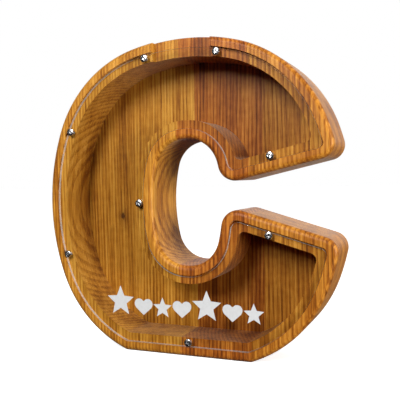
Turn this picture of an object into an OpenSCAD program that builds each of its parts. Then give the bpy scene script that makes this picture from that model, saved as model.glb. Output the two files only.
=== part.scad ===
// A wooden money box in the shape of a big round open letter, standing on a flat foot.
// Edge-glued boards are routed out from the front, and a clear panel is screwed over the hollow.
// Coins go in behind the top edge of the panel. Millimetres, +Z up, the panel faces -Y.

/* [Body] */
// Width of the full oval that the letter is cut from
oval_w = 228; // [160:1:320]
// Overall height, from the flat foot to the top
body_h = 229.6; // [160:0.1:320]
// Thickness of the glued boards, front to back
body_d = 43; // [30:0.5:60]
// How much of the oval is sawn off to make the flat foot
foot_cut = 8; // [4:0.5:16]
// Thickness of the wood left behind the hollow
back_t = 8; // [4:0.5:14]
// Width of one board
board_w = 54; // [40:1:70]

/* [Opening of the letter] */
// Width of the oval hole in the middle
counter_w = 54; // [36:1:80]
// Height of the oval hole in the middle
counter_h = 91; // [60:1:120]
// How far the hole sits to the right of the oval's middle
counter_x = 2.7; // [-6:0.1:10]
// How far the hole sits above the oval's middle
counter_z = 0.8; // [-5:0.1:5]
// Height of the mouth's point above the hole's middle
mouth_lift = 6.5; // [-5:0.1:12]
// Slope of the mouth's upper side
mouth_up = 12.8; // [6:0.1:20]
// Slope of the mouth's lower side
mouth_down = 16.4; // [6:0.1:24]
// Radius of the two outer corners of the mouth
tip_r = 11; // [8:0.5:14]
// Radius of the two inner corners of the mouth
throat_r = 12.5; // [8.5:0.5:15]

/* [Rim] */
// Width of the front lip around the clear panel
lip_w = 7; // [5:0.1:9]
// Width of the ledge that the clear panel lies on
ledge_w = 6.4; // [5.5:0.1:9]
// Corner radius left by the router in the hollow
router_r = 5; // [3:0.5:8]

/* [Coin slot] */
// Length of the coin slot along the top
slot_l = 45.6; // [32:0.2:60]
// Gap for the coin behind the clear panel
slot_gap = 4.4; // [4.2:0.1:6]

/* [Clear panel] */
// Thickness of the clear panel
panel_t = 2.4; // [2:0.1:3]
// How far the panel's face lies behind the front of the lip
panel_recess = 0.2; // [0:0.1:1]
// Gap between the clear panel and the lip
panel_gap = 0.8; // [0.5:0.1:1.2]
// How far the panel has settled below the middle of its rebate
panel_drop = 0.4; // [0:0.1:0.5]

/* [Screws] */
// Diameter of a screw's head
head_d = 5.6; // [4.5:0.1:6.5]
// Height of a screw's head
head_h = 2; // [1.2:0.1:2.6]
// Diameter of a screw's shank
shank_d = 2.9; // [2:0.1:3.5]
// Length of a screw under its head
shank_l = 12.7; // [9:0.1:16]
// Distance of the screws from the clear panel's edge
screw_edge = 2.7; // [2.4:0.1:3.4]
// Distance of the two mouth screws from the mouth's point
mouth_screw = 67; // [50:1:80]

/* [White shapes] */
// Height of the tall stars
star_h = 21; // [16:0.5:26]
// Height of the hearts and the small stars
heart_h = 14; // [10:0.5:18]
// Gap between one shape and the next
shape_gap = 0.8; // [0.4:0.1:4]
// Height of the row's bottom edge above the foot
shape_z = 28; // [22:0.5:40]
// Thickness of the white film
film_t = 0.25; // [0.2:0.05:0.4]

/* [Hidden] */

$fa = 3;
$fs = 0.8;
eps = 0.01;
// arcs that run smoothly into each other overlap by this much, so that they join cleanly
weld = 0.003;
far = 400;

// the oval's four arcs, as multiples of those of an ellipse of the same size
top_flat = 1.45;
side_flat = 1.31;
shoulder_full = 0.8;
// the same for the hole in the middle
hole_top_flat = 2.28;
hole_side_flat = 1.53;
hole_shoulder_full = 0.664;

half_w = oval_w / 2;
half_h = (body_h + foot_cut) / 2;
oval_z = body_h - half_h;
hole_w = counter_w / 2;
hole_h = counter_h / 2;
wall = lip_w + ledge_w;
rebate_d = panel_t + panel_recess;
screw_in = lip_w + panel_gap + screw_edge;
apex = [counter_x, counter_z + mouth_lift];

// radius of the arc at the top, at the side and at the shoulder of an oval
function top_arc(a, b, k) = k * a * a / b;
function side_arc(a, b, k) = k * b * b / a;
function shoulder_arc(a, b, k) = k * sqrt(a * b);

// middle of the shoulder arc that runs smoothly into the other two
function shoulder_at(a, b, rt, rs, rc) =
    let(
        d = [a - rs, -(b - rt)],
        l = norm(d),
        m = ((rt - rc) * (rt - rc) - (rs - rc) * (rs - rc) + l * l) / (2 * l),
        h = sqrt((rt - rc) * (rt - rc) - m * m)
    )
    [0, b - rt] + d * m / l + [d[1], -d[0]] * h / l;

oval_side = side_arc(half_w, half_h, side_flat);
oval_side_mid = [half_w - oval_side, 0];
oval_top = top_arc(half_w, half_h, top_flat);
oval_shoulder = shoulder_arc(half_w, half_h, shoulder_full);
oval_shoulder_mid = shoulder_at(half_w, half_h, oval_top, oval_side, oval_shoulder);
hole_side = side_arc(hole_w, hole_h, hole_side_flat);
hole_side_mid = [counter_x + hole_w - hole_side, counter_z];

// direction along a side of the mouth, and straight into the wood from it; up is 1 or -1
function mouth_dir(up) = up > 0 ? [cos(mouth_up), sin(mouth_up)] : [cos(mouth_down), -sin(mouth_down)];
function mouth_in(up) = [-up * mouth_dir(up)[1], up * mouth_dir(up)[0]];

// middle of a corner circle that lies deep in from the mouth's side and reach away from the point mid
function corner_mid(up, deep, mid, reach) =
    let(
        q = apex + mouth_in(up) * deep - mid,
        k = q * mouth_dir(up)
    )
    q + mid + mouth_dir(up) * (sqrt(k * k - q * q + reach * reach) - k);

// the letter is set so that its widest points are the same distance either side of X = 0
tip_reach = corner_mid(-1, tip_r, oval_side_mid, oval_side - tip_r)[0] + tip_r;
letter_x = (half_w - tip_reach) / 2;

// planes along the depth, from the screw heads to the back
stack_d = body_d + head_h - panel_recess;
front_y = stack_d / 2 - body_d;
back_y = front_y + body_d;
ledge_y = front_y + rebate_d;
panel_y = ledge_y - panel_t;
floor_y = back_y - back_t;
slot_y = ledge_y + slot_gap;

module slab(y0, y1) {
    translate([letter_x, y1, oval_z])
    rotate([90, 0, 0])
    linear_extrude(y1 - y0)
    children();
}

// the part of a circle of radius r round mid that lies beyond the points to_a and to_b
module sector(mid, to_a, to_b, r) {
    reach = 1.4 * r;
    intersection() {
        translate(mid)
        circle(r);
        polygon([
            to_a,
            mid + (to_a - mid) * reach / norm(to_a - mid),
            mid + (to_b - mid) * reach / norm(to_b - mid),
            to_b
        ]);
    }
}

// a smooth oval of four kinds of arc, drawn grow larger all round
module oval(a, b, k_top, k_side, k_shoulder, grow) {
    rt = top_arc(a, b, k_top);
    rs = side_arc(a, b, k_side);
    rc = shoulder_arc(a, b, k_shoulder);
    c = shoulder_at(a, b, rt, rs, rc);
    square([2 * c[0] + 2, 2 * c[1] + 2], center = true);
    for (x = [-1, 1])
        for (y = [-1, 1])
            translate([x * c[0], y * c[1]])
            circle(rc + grow + weld);
    for (s = [-1, 1]) {
        sector([0, s * (b - rt)], [c[0], s * c[1]], [-c[0], s * c[1]], rt + grow);
        sector([s * (a - rs), 0], [s * c[0], c[1]], [s * c[0], -c[1]], rs + grow);
    }
}

module outer_oval(inset) {
    oval(half_w, half_h, top_flat, side_flat, shoulder_full, -inset);
}

module counter_oval(grow) {
    translate([counter_x, counter_z])
    oval(hole_w, hole_h, hole_top_flat, hole_side_flat, hole_shoulder_full, grow);
}

// what a corner circle of radius r leaves to be taken off, between the directions da and db
module corner_waste(mid, da, db, r) {
    k = 1.3 * r + 2;
    difference() {
        polygon([mid, mid + da * k, mid + (da + db) * k, mid + db * k]);
        translate(mid)
        circle(r + weld);
    }
}

// the letter's outline, drawn inset into the wood; tip and throat are its corner radii
module letter(inset, tip, throat) {
    difference() {
        outer_oval(inset);
        translate([-far, -half_h + foot_cut + inset - far])
        square([2 * far, far]);
        counter_oval(inset);
        polygon([
            apex,
            apex + mouth_in(1) * inset,
            apex + mouth_in(1) * inset + mouth_dir(1) * far,
            apex + mouth_in(-1) * inset + mouth_dir(-1) * far,
            apex + mouth_in(-1) * inset
        ]);
        for (up = [-1, 1]) {
            a = corner_mid(up, inset + tip, oval_side_mid, oval_side - inset - tip);
            corner_waste(a, -mouth_in(up), (a - oval_side_mid) / norm(a - oval_side_mid), tip);
            b = corner_mid(up, inset + throat, hole_side_mid, hole_side + inset + throat);
            corner_waste(b, -mouth_in(up), (hole_side_mid - b) / norm(hole_side_mid - b), throat);
        }
    }
}

// where the screws stand, seen from the front, from the oval's middle
function on_oval(mid, r, turn) = mid + (r - screw_in) * [cos(turn), sin(turn)];
slot_turn = asin((slot_l / 2 + 5.2) / (oval_top - screw_in));
top_mid = [0, half_h - oval_top];
left_side_mid = [-oval_side_mid[0], 0];
left_shoulder_mid = [-oval_shoulder_mid[0], oval_shoulder_mid[1]];
screws = [
    on_oval(top_mid, oval_top, 90 + slot_turn),
    on_oval(top_mid, oval_top, 90 - slot_turn),
    on_oval(left_shoulder_mid, oval_shoulder, 157.5),
    on_oval(left_side_mid, oval_side, 195),
    [counter_x - hole_w - screw_in, counter_z - 0.5],
    [counter_x, -half_h + foot_cut + screw_in],
    apex + mouth_in(-1) * screw_in + mouth_dir(-1) * mouth_screw,
    apex + mouth_in(1) * screw_in + mouth_dir(1) * mouth_screw
];

module case_solid() {
    difference() {
        slab(front_y, back_y)
        letter(0, tip_r, throat_r);
        slab(front_y - 1, ledge_y)
        letter(lip_w, tip_r - lip_w, throat_r - lip_w);
        slab(front_y - 1, floor_y)
        letter(wall, router_r, router_r);
        translate([letter_x - slot_l / 2, front_y - 1, oval_z + half_h - wall - slot_l * slot_l / oval_top / 8 - 2])
        cube([slot_l, slot_y - front_y + 1, wall * 2 + slot_l]);
        for (p = screws)
            translate([letter_x + p[0], ledge_y + shank_l - panel_t + 1, oval_z + p[1]])
            rotate([90, 0, 0])
            cylinder(d = shank_d + 0.1, h = shank_l + rebate_d + 2);
    }
}

// one board of the case: from x0 to x1, and the whole height or only above or below the mouth
module board(x0, x1, z0, z1) {
    intersection() {
        case_solid();
        translate([x0, front_y - 2, z0])
        cube([x1 - x0, body_d + 4, z1 - z0]);
    }
}

joint_1 = -board_w * 1.04;
joint_2 = -board_w * 0.04;
joint_3 = board_w * 0.96;
split_z = oval_z + apex[1];

module board_left() {
    color([0.66, 0.46, 0.2])
    board(-far, joint_1, -1, far);
}

module board_spine() {
    color([0.69, 0.48, 0.21])
    board(joint_1, joint_2, -1, far);
}

module board_middle_top() {
    color([0.6, 0.38, 0.2])
    board(joint_2, joint_3, split_z, far);
}

module board_middle_foot() {
    color([0.6, 0.38, 0.2])
    board(joint_2, joint_3, -1, split_z);
}

module board_tip_top() {
    color([0.68, 0.48, 0.22])
    board(joint_3, far, split_z, far);
}

module board_tip_foot() {
    color([0.68, 0.48, 0.22])
    board(joint_3, far, -1, split_z);
}

module front_panel() {
    inset = lip_w + panel_gap;
    color([0.9, 0.94, 0.95, 0.3])
    difference() {
        translate([0, 0, -panel_drop])
        slab(panel_y, ledge_y)
        letter(inset, tip_r - lip_w, throat_r - lip_w);
        for (p = screws)
            translate([letter_x + p[0], ledge_y + 1, oval_z + p[1]])
            rotate([90, 0, 0])
            cylinder(d = shank_d + 0.4, h = panel_t + 2);
    }
}

// a pan-head screw that points into the wood, its head lying on the clear panel
module screw(i) {
    tip_l = shank_d * 0.9;
    dome_r = (head_d * head_d / 4 + head_h * head_h) / (2 * head_h) + 1.2;
    arm_w = head_d * 0.17;
    arm_l = head_d * 0.52;
    color([0.78, 0.78, 0.76])
    translate([letter_x + screws[i][0], panel_y, oval_z + screws[i][1]])
    rotate([90, 0, 0])
    difference() {
        union() {
            intersection() {
                cylinder(d = head_d, h = head_h);
                translate([0, 0, head_h - dome_r])
                sphere(dome_r, $fn = 60);
            }
            translate([0, 0, -shank_l + tip_l])
            cylinder(d = shank_d, h = shank_l - tip_l + eps);
            translate([0, 0, -shank_l])
            cylinder(d1 = 0.4, d2 = shank_d, h = tip_l);
        }
        for (turn = [0, 90])
            rotate([0, 0, turn])
            translate([-arm_l / 2, -arm_w / 2, head_h * 0.4])
            cube([arm_l, arm_w, head_h]);
    }
}

module screw_slot_left() { screw(0); }
module screw_slot_right() { screw(1); }
module screw_side_upper() { screw(2); }
module screw_side_lower() { screw(3); }
module screw_counter() { screw(4); }
module screw_foot() { screw(5); }
module screw_mouth_lower() { screw(6); }
module screw_mouth_upper() { screw(7); }

module star(h) {
    r = h / (1 + cos(36));
    polygon([for (k = [0:9]) (k % 2 == 0 ? r : r * 0.45) * [sin(36 * k), cos(36 * k)]]);
}

module heart(h) {
    r = h * 0.27;
    s = r * 2 / sqrt(2);
    polygon([[0, -h + r * 1.5], [s * 1.22, -r * 0.72], [0, r * 0.6], [-s * 1.22, -r * 0.72]]);
    for (x = [-1, 1])
        translate([x * r * 0.95, 0])
        circle(r, $fn = 48);
}

// height and width of the i-th white shape, and its middle's distance from that of the first
function shape_h(i) = i == 0 || i == 4 ? star_h : heart_h;
function shape_w(i) = 1.06 * shape_h(i);
function shape_x(i) = i == 0 ? 0 : shape_x(i - 1) + (shape_w(i - 1) + shape_w(i)) / 2 + shape_gap;
row_mid = (shape_x(6) + shape_w(6) / 2 - shape_w(0) / 2) / 2;

// one white shape on the front of the panel, the i-th of seven; every other one is a heart
module shape(i) {
    h = shape_h(i);
    color([0.95, 0.95, 0.93])
    translate([shape_x(i) - row_mid, panel_y, shape_z])
    rotate([90, 0, 0])
    linear_extrude(film_t)
    if (i % 2 == 0)
        translate([0, h * cos(36) / (1 + cos(36))])
        star(h);
    else
        translate([0, h * 0.6])
        heart(h);
}

module shape_1() { shape(0); }
module shape_2() { shape(1); }
module shape_3() { shape(2); }
module shape_4() { shape(3); }
module shape_5() { shape(4); }
module shape_6() { shape(5); }
module shape_7() { shape(6); }

board_left();
board_spine();
board_middle_top();
board_middle_foot();
board_tip_top();
board_tip_foot();
front_panel();
screw_slot_left();
screw_slot_right();
screw_side_upper();
screw_side_lower();
screw_counter();
screw_foot();
screw_mouth_lower();
screw_mouth_upper();
shape_1();
shape_2();
shape_3();
shape_4();
shape_5();
shape_6();
shape_7();
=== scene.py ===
import math

import bmesh
import bpy
from mathutils import Matrix, Vector


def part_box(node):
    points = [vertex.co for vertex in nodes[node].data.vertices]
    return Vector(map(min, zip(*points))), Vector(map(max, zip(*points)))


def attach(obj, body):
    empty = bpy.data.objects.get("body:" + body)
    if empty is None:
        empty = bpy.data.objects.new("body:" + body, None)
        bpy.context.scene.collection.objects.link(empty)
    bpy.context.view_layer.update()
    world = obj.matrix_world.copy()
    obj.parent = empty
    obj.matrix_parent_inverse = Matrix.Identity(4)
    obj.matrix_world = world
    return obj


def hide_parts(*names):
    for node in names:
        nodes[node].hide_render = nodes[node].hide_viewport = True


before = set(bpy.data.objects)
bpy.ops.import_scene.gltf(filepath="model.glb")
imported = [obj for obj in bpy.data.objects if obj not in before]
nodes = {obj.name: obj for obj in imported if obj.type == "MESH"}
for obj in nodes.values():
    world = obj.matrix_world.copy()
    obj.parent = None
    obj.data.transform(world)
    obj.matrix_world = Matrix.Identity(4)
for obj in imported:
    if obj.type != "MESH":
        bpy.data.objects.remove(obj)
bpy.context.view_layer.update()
mm = 0.001

scene = bpy.context.scene
scene.view_settings.view_transform = "Standard"
scene.view_settings.look = "None"


cameraLook = {
    "place": (0.1839, -0.4206, 0.1305),   # metres, in front and to the right
    "yaw": 22.80,                          # degrees the view turns to the left
    "down": 2.25,                          # degrees the view dips
    "roll": -1.06,
    "lens": 55.24,                         # mm on a 36 mm sensor
}


def makeCamera(look):
    yaw, down, roll = (math.radians(look[k]) for k in ("yaw", "down", "roll"))
    ahead = Vector((-math.sin(yaw) * math.cos(down), math.cos(yaw) * math.cos(down), -math.sin(down)))
    level = Vector((math.cos(yaw), math.sin(yaw), 0))
    over = level.cross(ahead)
    right = level * math.cos(roll) + over * math.sin(roll)
    up = -level * math.sin(roll) + over * math.cos(roll)
    data = bpy.data.cameras.new("camera")
    data.sensor_width = 36
    data.lens = look["lens"]
    data.clip_start, data.clip_end = 0.01, 20
    camera = bpy.data.objects.new("camera", data)
    scene.collection.objects.link(camera)
    turn = Matrix((right, up, -ahead)).transposed().to_4x4()
    camera.matrix_world = Matrix.Translation(look["place"]) @ turn
    scene.camera = camera


makeCamera(cameraLook)
print("camera set")


def newMaterial(name):
    material = bpy.data.materials.new(name)
    material.use_nodes = True
    tree = material.node_tree
    tree.nodes.clear()
    output = tree.nodes.new("ShaderNodeOutputMaterial")
    shader = tree.nodes.new("ShaderNodeBsdfPrincipled")
    tree.links.new(shader.outputs["BSDF"], output.inputs["Surface"])
    return material, tree, shader


def put(tree, kind, inputs=None, **settings):
    # adds a node, sets its properties, and fills its inputs with values or with other nodes' outputs
    node = tree.nodes.new(kind)
    for key, value in settings.items():
        setattr(node, key, value)
    for key, value in (inputs or {}).items():
        if isinstance(value, bpy.types.NodeSocket):
            tree.links.new(value, node.inputs[key])
        else:
            node.inputs[key].default_value = value
    return node


def maths(tree, operation, a, b=0.0, c=0.0, clamp=False):
    return put(tree, "ShaderNodeMath", {0: a, 1: b, 2: c}, operation=operation, use_clamp=clamp).outputs[0]


def ramp(tree, factor, stops):
    node = put(tree, "ShaderNodeValToRGB", {"Fac": factor})
    band = node.color_ramp
    while len(band.elements) < len(stops):
        band.elements.new(0.5)
    for element, (at, colour) in zip(band.elements, stops):
        element.position = at
        element.color = (*colour, 1) if len(colour) == 3 else (colour[0],) * 3 + (1,)
    return node.outputs["Color"]


def mixColours(tree, share, under, over):
    # over is a plain colour, laid on by its share
    node = put(tree, "ShaderNodeMix", data_type="RGBA")
    tree.links.new(share, node.inputs[0])
    tree.links.new(under, node.inputs[6])
    node.inputs[7].default_value = (*over, 1)
    return node.outputs[2]


def noise(tree, vector, scale, detail=2.0, rough=0.5):
    # noise at a different scale along each axis, in cycles per millimetre; returns -0.5 to 0.5
    stretched = put(tree, "ShaderNodeMapping", {"Vector": vector, "Scale": scale}).outputs[0]
    node = put(tree, "ShaderNodeTexNoise", {
        "Vector": stretched, "Scale": 1.0, "Detail": detail, "Roughness": rough,
    })
    return maths(tree, "SUBTRACT", node.outputs["Fac"], 0.5)


def millimetres(tree):
    # where a point of the surface is, in mm, so that patterns are cut from one solid block
    place = put(tree, "ShaderNodeTexCoord").outputs["Object"]
    return put(tree, "ShaderNodeMapping", {"Vector": place, "Scale": (1000, 1000, 1000)}).outputs[0]


def newPiece(name, bm, materials):
    mesh = bpy.data.meshes.new(name)
    bm.to_mesh(mesh)
    bm.free()
    piece = bpy.data.objects.new(name, mesh)
    scene.collection.objects.link(piece)
    for material in materials:
        mesh.materials.append(material)
    return piece


def evenShading(piece):
    # flat faces stay flat right up to their rounded edges
    even = piece.modifiers.new("evenShading", "WEIGHTED_NORMAL")
    even.keep_sharp = True
    even.weight = 100


def shadeByAngle(bm, degrees, flatArea=20):
    # rounded parts are smooth; sharp edges and faces that were cut flat, over so many square mm, stay crisp
    limit = math.radians(degrees)
    for face in bm.faces:
        face.smooth = not (abs(face.normal.y) > 0.9999 and face.calc_area() > flatArea * mm * mm)
    for edge in bm.edges:
        edge.smooth = len(edge.link_faces) == 2 and edge.calc_face_angle(0) < limit


def cleanCopy(node):
    # the CAD piece's shape with its flat faces whole again
    bm = bmesh.new()
    bm.from_mesh(nodes[node].data)
    bmesh.ops.remove_doubles(bm, verts=bm.verts, dist=0.002 * mm)
    bmesh.ops.dissolve_limit(bm, angle_limit=math.radians(0.4), verts=bm.verts, edges=bm.edges)
    bm.normal_update()
    return bm


oakLook = {
    "darkest": (0.100, 0.028, 0.003),
    "dark": (0.280, 0.088, 0.006),
    "middle": (0.510, 0.212, 0.022),
    "light": (0.720, 0.365, 0.068),
    "ringGap": 2.7,          # mm between growth rings
    "ringDepth": 0.20,       # how much the rings show in the colour
    "streakDepth": 0.80,
    "fibreDepth": 0.95,
    "poreDepth": 0.55,
    "roughness": 0.42,
    "bump": 0.35,
    "sheen": 0.16,           # paler where the surface is seen at a slant
    "sheenTint": (1.0, 0.86, 0.70),
    "specular": 0.15,
    "pore": (0.085, 0.028, 0.007),
    "knot": (0.06, 0.018, 0.005),
    "brightness": 0.56,      # before a board's own tone is added
}


def addKnot(tree, inMm, colour, knot):
    # a small branch that runs straight through the board from front to back
    x, z, size = knot
    away = put(tree, "ShaderNodeVectorMath", {0: inMm, 1: (x, 0, z)}, operation="SUBTRACT").outputs[0]
    away = put(tree, "ShaderNodeVectorMath", {0: away, 1: (1, 0, 0.62)}, operation="MULTIPLY").outputs[0]
    ragged = noise(tree, inMm, (0.7, 0.2, 0.5), 2.0)
    reach = put(tree, "ShaderNodeVectorMath", {0: away}, operation="LENGTH").outputs["Value"]
    reach = maths(tree, "MULTIPLY_ADD", ragged, 1.6, reach)
    dark = ramp(tree, maths(tree, "DIVIDE", reach, size * 4), [
        (0.0, (0.95,)), (0.22, (0.85,)), (0.34, (0.25,)), (1.0, (0.0,)),
    ])
    return mixColours(tree, dark, colour, oakLook["knot"])


def oak(name, heart, tilt=(0, 0), shift=0.0, tone=0.0, red=0.0, knot=None):
    # heart is where the tree's middle would be, in mm; tilt turns the grain off upright, in degrees
    look = oakLook
    material, tree, shader = newMaterial(name)
    inMm = millimetres(tree)
    grain = put(tree, "ShaderNodeMapping", {
        "Vector": inMm,
        "Location": (shift * 7.0, shift * 3.0, shift * 31.0),
        "Rotation": (math.radians(tilt[0]), math.radians(tilt[1]), 0),
    }).outputs[0]

    # growth rings, bent a little so that they wander along the board
    wander = noise(tree, grain, (0.012, 0.012, 0.0016), 2.0)
    ripple = noise(tree, grain, (0.09, 0.09, 0.003), 2.0)
    away = put(tree, "ShaderNodeVectorMath", {0: grain, 1: (*heart, 0)}, operation="SUBTRACT").outputs[0]
    away = put(tree, "ShaderNodeVectorMath", {0: away, 1: (1, 1, 0)}, operation="MULTIPLY").outputs[0]
    reach = put(tree, "ShaderNodeVectorMath", {0: away}, operation="LENGTH").outputs["Value"]
    reach = maths(tree, "MULTIPLY_ADD", wander, 9.0, reach)
    reach = maths(tree, "MULTIPLY_ADD", ripple, 1.0, reach)
    ring = maths(tree, "FRACT", maths(tree, "DIVIDE", reach, look["ringGap"]))
    early = ramp(tree, ring, [
        (0.0, (0.0,)), (0.10, (1.0,)), (0.42, (0.75,)), (0.62, (0.1,)), (1.0, (0.0,)),
    ])

    # long streaks, fine fibres and open pores
    broad = noise(tree, grain, (0.11, 0.11, 0.0022), 2.0)
    streak = noise(tree, grain, (0.55, 0.55, 0.0075), 3.0, 0.6)
    fibre = noise(tree, grain, (2.3, 2.3, 0.045), 3.0, 0.6)
    pore = noise(tree, grain, (3.2, 3.2, 0.085), 1.0)
    blotch = noise(tree, grain, (0.03, 0.03, 0.012), 2.0)
    ray = noise(tree, grain, (0.16, 1.6, 0.22), 2.0)

    value = maths(tree, "MULTIPLY_ADD", streak, look["streakDepth"], look["brightness"] + tone)
    value = maths(tree, "MULTIPLY_ADD", fibre, look["fibreDepth"], value)
    value = maths(tree, "MULTIPLY_ADD", broad, 0.75, value)
    value = maths(tree, "MULTIPLY_ADD", blotch, 0.30, value)
    value = maths(tree, "MULTIPLY_ADD", ray, 0.22, value)
    value = maths(tree, "MULTIPLY_ADD", early, -look["ringDepth"], value, clamp=True)
    colour = ramp(tree, value, [
        (0.0, look["darkest"]), (0.28, look["dark"]), (0.56, look["middle"]), (1.0, look["light"]),
    ])
    deep = ramp(tree, maths(tree, "MULTIPLY_ADD", early, 0.10, pore), [(0.16, (0.0,)), (0.27, (1.0,))])
    colour = mixColours(tree, maths(tree, "MULTIPLY", deep, look["poreDepth"]), colour, look["pore"])
    if knot:
        colour = addKnot(tree, inMm, colour, knot)
    if red:
        colour = put(tree, "ShaderNodeHueSaturation", {"Hue": 0.5 - red, "Color": colour}).outputs["Color"]
    tree.links.new(colour, shader.inputs["Base Color"])

    rough = maths(tree, "MULTIPLY_ADD", fibre, 0.25, look["roughness"])
    tree.links.new(maths(tree, "MULTIPLY_ADD", deep, 0.15, rough, clamp=True), shader.inputs["Roughness"])
    height = maths(tree, "MULTIPLY_ADD", deep, -1.0, maths(tree, "MULTIPLY", fibre, 0.5))
    bump = put(tree, "ShaderNodeBump", {"Strength": look["bump"], "Distance": 0.12 * mm, "Height": height})
    tree.links.new(bump.outputs[0], shader.inputs["Normal"])
    shader.inputs["Specular IOR Level"].default_value = look["specular"]
    shader.inputs["Sheen Weight"].default_value = look["sheen"]
    shader.inputs["Sheen Roughness"].default_value = 0.4
    shader.inputs["Sheen Tint"].default_value = (*look["sheenTint"], 1)
    return material


middleLook = {"heart": (210, 70), "tilt": (0.6, -0.9), "shift": 3.7, "tone": -0.14, "red": 0.012}
tipLook = {"heart": (300, -90), "tilt": (-0.3, 0.5), "shift": 5.1, "tone": -0.08, "red": 0.004}
boardLook = {
    "board_left": {
        "piece": "boardLeft", "heart": (-330, 60), "tilt": (0.4, 0.8), "shift": 1.0,
        "tone": 0.01, "red": 0.0,
        "knot": (-67, 99, 1.5),      # x and z of its middle and roughly its radius, in mm
    },
    "board_spine": {
        "piece": "boardSpine", "heart": (-290, 90), "tilt": (-0.5, -0.5), "shift": 2.3,
        "tone": 0.0, "red": 0.0,
    },
    # the mouth cuts one plank in two, so the upper and the lower half share their grain
    "board_middle_top": {"piece": "boardMiddleTop", **middleLook},
    "board_middle_foot": {"piece": "boardMiddleFoot", **middleLook},
    "board_tip_top": {"piece": "boardTipTop", **tipLook},
    "board_tip_foot": {"piece": "boardTipFoot", **tipLook},
}

edgeLook = {
    "front": 3.6,        # mm radius of the rounded front edges
    "slotEnd": 1.8,      # mm radius where the lip ends at the coin slot
    "back": 0.8,         # mm, the back edges, only sanded
    "steps": 6,
    "lipDepth": 8,       # mm; a wall deeper than this is an outer wall
    "slotFloor": 190,    # mm; the slot's ends are higher than this
}


def roundEdges(bm, edges, radius, steps):
    if edges:
        bmesh.ops.bevel(bm, geom=edges, offset=radius * mm, offset_type="OFFSET", segments=steps,
                        profile=0.5, affect="EDGES", clamp_overlap=True)
        bm.normal_update()


def makeBoards():
    low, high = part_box("board_left")
    frontY, backY = low.y, high.y
    joints = sorted({round(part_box(n)[i].x, 5) for n in boardLook for i in (0, 1)})
    joints = [x for x in joints if any(abs(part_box(a)[1].x - x) < 1e-4 for a in boardLook)
              and any(abs(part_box(b)[0].x - x) < 1e-4 for b in boardLook)]

    def inJoint(edge):
        # an edge on the face where two boards are glued
        return any(all(abs(v.co.x - x) < 2e-5 for v in edge.verts) for x in joints)

    def sharp(edge, degrees=25):
        return len(edge.link_faces) == 2 and edge.calc_face_angle(0) > math.radians(degrees)

    def isFront(edge):
        # between the flat front face and the letter's outer wall
        if not all(abs(v.co.y - frontY) < 2e-5 for v in edge.verts):
            return False
        walls = [f for f in edge.link_faces if abs(f.normal.y) < 0.3]
        return bool(walls) and max(v.co.y for v in walls[0].verts) > frontY + edgeLook["lipDepth"] * mm

    def isSlotEnd(edge):
        # where the lip stops at the coin slot: the upright corner of its front face
        walls = [f for f in edge.link_faces if abs(f.normal.x) > 0.99]
        fronts = [f for f in edge.link_faces if f.normal.y < -0.99]
        return (len(walls) == 1 and len(fronts) == 1
                and all(abs(v.co.y - frontY) < 2e-5 for v in edge.verts)
                and min(v.co.z for v in edge.verts) > edgeLook["slotFloor"] * mm)

    for node, look in boardLook.items():
        bm = cleanCopy(node)
        front = [e for e in bm.edges if not inJoint(e) and sharp(e) and isFront(e)]
        roundEdges(bm, front, edgeLook["front"], edgeLook["steps"])
        slotEnd = [e for e in bm.edges if not inJoint(e) and sharp(e, 60) and isSlotEnd(e)]
        roundEdges(bm, slotEnd, edgeLook["slotEnd"], 5)
        back = [e for e in bm.edges if not inJoint(e) and sharp(e, 40)
                and all(abs(v.co.y - backY) < 2e-5 for v in e.verts)]
        roundEdges(bm, back, edgeLook["back"], 3)
        shadeByAngle(bm, 30)
        wood = oak("oak" + look["piece"][5:], look["heart"], look["tilt"], look["shift"],
                   look["tone"], look["red"], look.get("knot"))
        piece = newPiece(look["piece"], bm, [wood])
        evenShading(piece)
        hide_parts(node)
        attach(piece, "case")
    print("boards made:", len(boardLook))


makeBoards()


panelLook = {
    "edge": 0.25,                        # mm taken off every edge
    "clearance": 0.04,                   # mm between each face and what lies against it
    "clear": (0.97, 0.985, 0.98),        # what passes straight through the faces
    "edgeClear": (0.80, 0.86, 0.85),
    "ior": 1.45,
}


def clearFace(look):
    # almost all of the light goes straight through, the rest is mirrored
    material, tree, shader = newMaterial("acrylicFace")
    tree.nodes.remove(shader)
    inMm = millimetres(tree)
    smear = noise(tree, inMm, (0.05, 0.05, 0.03), 3.0)
    through = put(tree, "ShaderNodeBsdfTransparent", {"Color": (*look["clear"], 1)})
    rough = maths(tree, "MULTIPLY_ADD", smear, 0.04, 0.03, clamp=True)
    mirror = put(tree, "ShaderNodeBsdfGlossy", {"Roughness": rough})
    share = put(tree, "ShaderNodeFresnel", {"IOR": look["ior"]}).outputs[0]
    front = maths(tree, "SUBTRACT", 1.0, put(tree, "ShaderNodeNewGeometry").outputs["Backfacing"])
    share = maths(tree, "MULTIPLY", share, front)       # light leaving the sheet isn't held back
    mixed = put(tree, "ShaderNodeMixShader", {0: share, 1: through.outputs[0], 2: mirror.outputs[0]})
    tree.links.new(mixed.outputs[0], tree.nodes["Material Output"].inputs["Surface"])
    return material


def clearEdge(look):
    # the sawn edge is a little frosted
    material, tree, shader = newMaterial("acrylicEdge")
    inMm = millimetres(tree)
    scratch = noise(tree, inMm, (0.8, 3.0, 0.8), 3.0)
    shader.inputs["Base Color"].default_value = (*look["edgeClear"], 1)
    tree.links.new(maths(tree, "MULTIPLY_ADD", scratch, 0.4, 0.30, clamp=True), shader.inputs["Roughness"])
    tree.links.new(maths(tree, "MULTIPLY_ADD", scratch, 0.5, 0.35, clamp=True), shader.inputs["Alpha"])
    return material


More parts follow.
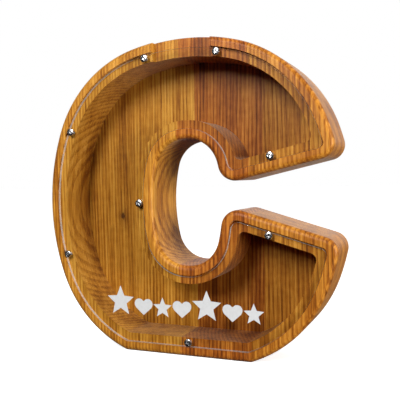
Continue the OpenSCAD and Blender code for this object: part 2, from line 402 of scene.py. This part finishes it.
def makePanel(look):
    bm = cleanCopy("front_panel")
    front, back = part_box("front_panel")
    for vert in bm.verts:                # clear of the ledge behind it and of the film on its face
        vert.co.y += look["clearance"] * mm * (1 if vert.co.y < (front.y + back.y) / 2 else -1)
    edges = [e for e in bm.edges if len(e.link_faces) == 2 and e.calc_face_angle(0) > math.radians(40)]
    sides = [f for f in bm.faces if abs(f.normal.y) < 0.5]
    for face in sides:
        face.material_index = 1
    roundEdges(bm, edges, look["edge"], 2)
    shadeByAngle(bm, 30)
    panel = newPiece("clearPanel", bm, [clearFace(look), clearEdge(look)])
    evenShading(panel)
    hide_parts("front_panel")
    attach(panel, "panel")
    print("panel made")


makePanel(panelLook)


screwLook = {
    "metal": (0.64, 0.64, 0.65),
    "worn": (0.38, 0.38, 0.40),
    "roughness": 0.26,
    "around": 40,            # points round a screw
    "edge": 0.35,            # mm, the soft rim of the head
    "head": 2.0,             # mm high
    "slack": 0.01,           # mm left free round the whole screw
    "domed": 0.6,            # mm that the top rises above the rim
    "recess": 1.3,           # mm deep
    "recessReach": 1.75,     # mm from the middle to the end of an arm
    "recessArm": 0.52,       # mm, half an arm's width
    "core": 1.02,            # mm radius of the shank inside the thread
    "crest": 1.44,
    "pitch": 1.25,
    "point": 2.8,            # mm of the shank that tapers
    # how far each cross is turned, in degrees
    "turns": {"screw_slot_left": 12, "screw_slot_right": 55, "screw_side_upper": 30, "screw_side_lower": 70,
              "screw_counter": 20, "screw_foot": 41, "screw_mouth_lower": 64, "screw_mouth_upper": 5},
}


def platedSteel(look):
    material, tree, shader = newMaterial("platedSteel")
    inMm = millimetres(tree)
    wear = noise(tree, inMm, (1.5, 1.5, 1.5), 4.0)
    brushed = noise(tree, inMm, (6, 6, 6), 2.0)
    colour = ramp(tree, maths(tree, "ADD", wear, 0.5), [(0.34, look["worn"]), (0.56, look["metal"])])
    tree.links.new(colour, shader.inputs["Base Color"])
    shader.inputs["Metallic"].default_value = 1.0
    rough = maths(tree, "MULTIPLY_ADD", wear, 0.25, look["roughness"], clamp=True)
    tree.links.new(rough, shader.inputs["Roughness"])
    bump = put(tree, "ShaderNodeBump", {"Strength": 0.15, "Distance": 0.04 * mm, "Height": brushed})
    tree.links.new(bump.outputs[0], shader.inputs["Normal"])
    return material


def makeScrew(node, look, steel):
    # one closed skin, ring by ring from the middle of the head to the point, all in mm from the head's seat
    low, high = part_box(node)
    midX, midZ = (low.x + high.x) / 2 / mm, (low.z + high.z) / 2 / mm
    headH, slack = look["head"], look["slack"]
    headR = (high.x - low.x) / 2 / mm - slack
    shankL = (high.y - low.y) / mm - headH - 2 * slack
    seat = low.y / mm + headH + slack
    turn = math.radians(look["turns"][node])
    count = look["around"]

    def crossDepth(r, angle):
        # how far the cross goes in at a point of the head, less towards the ends of its arms
        x, z = abs(r * math.cos(angle - turn)), abs(r * math.sin(angle - turn))
        along, across = max(x, z), min(x, z)
        inArm = min(1, max(0, (look["recessArm"] - across) / 0.12))
        inArm *= min(1, max(0, (look["recessReach"] - along) / 0.25))
        return look["recess"] * inArm * (1 - 0.35 * along / look["recessReach"])

    domed = look["domed"]
    dome = (headR * headR + domed * domed) / (2 * domed)
    rings = []
    for k in range(1, 19):
        r = (headR - look["edge"] * 0.4) * k / 18
        rise = headH - dome + math.sqrt(dome * dome - r * r)
        rings.append([(r, rise - crossDepth(r, math.tau * i / count)) for i in range(count)])
    for r, rise in ((headR, headH - domed - 0.35), (headR, 0.30), (headR - 0.2, 0.0), (look["crest"], 0.0)):
        rings.append([(r, rise)] * count)
    steps = int(shankL / (look["pitch"] / 4))
    for k in range(1, steps):
        deep = shankL * k / steps
        taper = min(1.0, (shankL - deep) / look["point"])
        ring = []
        for i in range(count):
            phase = (deep / look["pitch"] + i / count) % 1.0
            ridge = max(0.0, 1 - abs(phase - 0.5) / 0.3)
            smooth = min(1.0, deep / 2.0)
            ring.append(((look["core"] + (look["crest"] - look["core"]) * ridge * smooth) * taper, -deep))
        rings.append(ring)

    bm = bmesh.new()

    def point(r, rise, i):
        angle = math.tau * i / count
        x, z = midX + r * math.cos(angle), midZ + r * math.sin(angle)
        return bm.verts.new((x * mm, (seat - rise) * mm, z * mm))

    skin = [[point(r, rise, i) for i, (r, rise) in enumerate(ring)] for ring in rings]
    top = point(0, headH - crossDepth(0, 0), 0)
    tip = point(0, -shankL, 0)
    for i in range(count):
        j = (i + 1) % count
        bm.faces.new((top, skin[0][j], skin[0][i]))
        bm.faces.new((tip, skin[-1][i], skin[-1][j]))
        for one, two in zip(skin, skin[1:]):
            bm.faces.new((one[i], one[j], two[j], two[i]))
    bmesh.ops.recalc_face_normals(bm, faces=bm.faces)
    shadeByAngle(bm, 42)
    name = "screw" + "".join(word.capitalize() for word in node.split("_")[1:])
    piece = newPiece(name, bm, [steel])
    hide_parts(node)
    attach(piece, node + "_body")


steel = platedSteel(screwLook)
for node in screwLook["turns"]:
    makeScrew(node, screwLook, steel)
print("screws made:", len(screwLook["turns"]))


filmLook = {
    "white": (0.62, 0.62, 0.62),
    "dull": 0.94,            # the darkest parts, as a share of the white
    "roughness": 0.5,
}


def film(look):
    material, tree, shader = newMaterial("whiteFilm")
    inMm = millimetres(tree)
    grainy = noise(tree, inMm, (0.6, 0.6, 0.6), 4.0)
    duller = tuple(c * look["dull"] for c in look["white"])
    colour = ramp(tree, maths(tree, "ADD", grainy, 0.5), [(0.3, duller), (0.6, look["white"])])
    tree.links.new(colour, shader.inputs["Base Color"])
    rough = maths(tree, "MULTIPLY_ADD", grainy, 0.2, look["roughness"], clamp=True)
    tree.links.new(rough, shader.inputs["Roughness"])
    return material


white = film(filmLook)
for node in nodes:
    if node.startswith("shape_"):
        nodes[node].data.materials.clear()
        nodes[node].data.materials.append(white)
print("white shapes coloured")


studio = {
    "floor": (0.90, 0.90, 0.90),
    "floorGlow": 0.66,
    # brightness of the surroundings from straight in front, round the sides, to straight behind
    "around": [(0.0, 0.02), (0.46, 0.03), (0.56, 0.5), (0.72, 0.9), (1.0, 0.9)],
    # and the share of it that is left from straight below to straight above
    "upward": [(0.0, 0.05), (0.46, 0.10), (0.54, 1.0), (1.0, 1.0)],
    "aim": (0, 0, 0.11),         # metres, where the lamps point
    "lamps": [
        # name, turn to the right and height angle in degrees, distance, width, height, watts
        ("keyLamp", -8, 30, 1.0, 0.27, 0.44, 10.6),
        ("sideLamp", 68, 3, 1.2, 0.5, 0.5, 19.0),
    ],
}


def makeStudio(look):
    bm = bmesh.new()
    bmesh.ops.create_grid(bm, x_segments=1, y_segments=1, size=6)
    material, tree, shader = newMaterial("paleFloor")
    shader.inputs["Base Color"].default_value = (*look["floor"], 1)
    shader.inputs["Roughness"].default_value = 0.9
    shader.inputs["Emission Color"].default_value = (1, 1, 1, 1)
    shader.inputs["Emission Strength"].default_value = look["floorGlow"]
    floor = newPiece("floor", bm, [material])
    floor.visible_diffuse = False        # the paper floor throws no light back into the box
    floor.visible_glossy = False         # and doesn't mirror in the panel

    world = bpy.data.worlds.new("studio")
    scene.world = world
    world.use_nodes = True
    tree = world.node_tree
    tree.nodes.clear()
    way = put(tree, "ShaderNodeTexCoord").outputs["Generated"]
    split = put(tree, "ShaderNodeSeparateXYZ", {0: way}).outputs
    around, upward = (
        ramp(tree, maths(tree, "MULTIPLY_ADD", split[axis], 0.5, 0.5), [(at, (v,)) for at, v in look[name]])
        for axis, name in (("Y", "around"), ("Z", "upward"))
    )
    soft = put(tree, "ShaderNodeBackground", {"Color": around, "Strength": upward})
    paper = put(tree, "ShaderNodeBackground", {"Color": (1, 1, 1, 1), "Strength": 1.0})
    seen = put(tree, "ShaderNodeLightPath").outputs["Is Camera Ray"]
    both = put(tree, "ShaderNodeMixShader", {0: seen, 1: soft.outputs[0], 2: paper.outputs[0]})
    put(tree, "ShaderNodeOutputWorld", {"Surface": both.outputs[0]})

    middle = Vector(look["aim"])
    for name, turn, rise, away, width, height, watts in look["lamps"]:
        turn, rise = math.radians(turn), math.radians(rise)
        way = Vector((math.sin(turn) * math.cos(rise), -math.cos(turn) * math.cos(rise), math.sin(rise)))
        data = bpy.data.lights.new(name, "AREA")
        data.shape = "RECTANGLE"
        data.size, data.size_y = width, height
        data.energy = watts
        lamp = bpy.data.objects.new(name, data)
        scene.collection.objects.link(lamp)
        lamp.location = middle + way * away
        lamp.rotation_mode = "QUATERNION"
        lamp.rotation_quaternion = (-way).to_track_quat("-Z", "Y")
    print("studio made")


makeStudio(studio)
